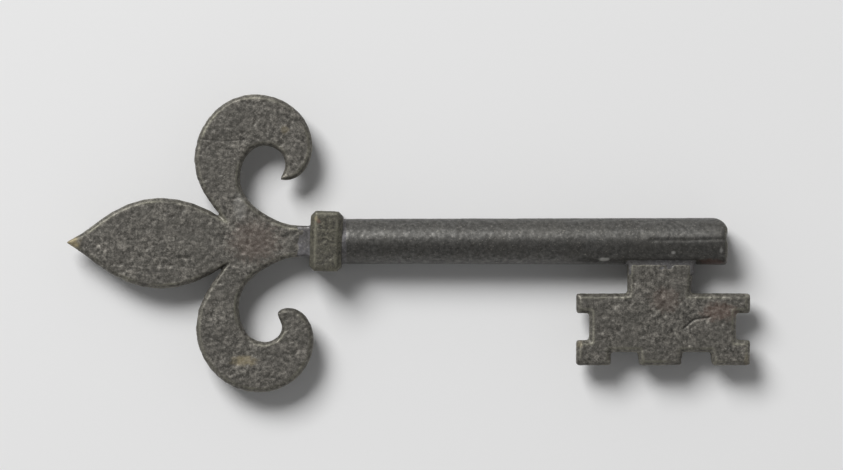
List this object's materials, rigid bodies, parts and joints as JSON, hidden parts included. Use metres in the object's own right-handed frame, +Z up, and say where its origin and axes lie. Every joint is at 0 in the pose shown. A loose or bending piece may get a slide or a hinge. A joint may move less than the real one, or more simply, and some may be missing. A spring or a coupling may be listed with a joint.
{
  "type": "barrel key",
  "caption": "Old metal key: fleur-de-lis bow plate, square collar, round hollow barrel and a stepped bit with notches and teeth.",
  "frame": {"origin": "under the middle of the key's box, on the surface it lies on", "axes": "+X along the barrel towards the bit, +Y across the bow away from the bit, +Z up out of the bow's plate"},
  "size_m": [0.1708, 0.0744, 0.0135],
  "materials": {
    "bow_patina": "dark brown-grey patina, pitted, brassy along worn edges",
    "collar_patina": "dark patina, olive brass on its bevels",
    "barrel_patina": "dark grey patina, smooth, lightly scratched",
    "bit_patina": "dark brown-grey patina, pitted, olive along the teeth",
    "solder": "dull lilac-grey solder"
  },
  "bodies": {
    "root": {"bow": "bow_patina", "collar": "collar_patina", "barrel": "barrel_patina", "bit": "bit_patina", "neck_solder": "solder", "collar_solder": "solder", "bit_solder": "solder"}
  },
  "joints": []
}
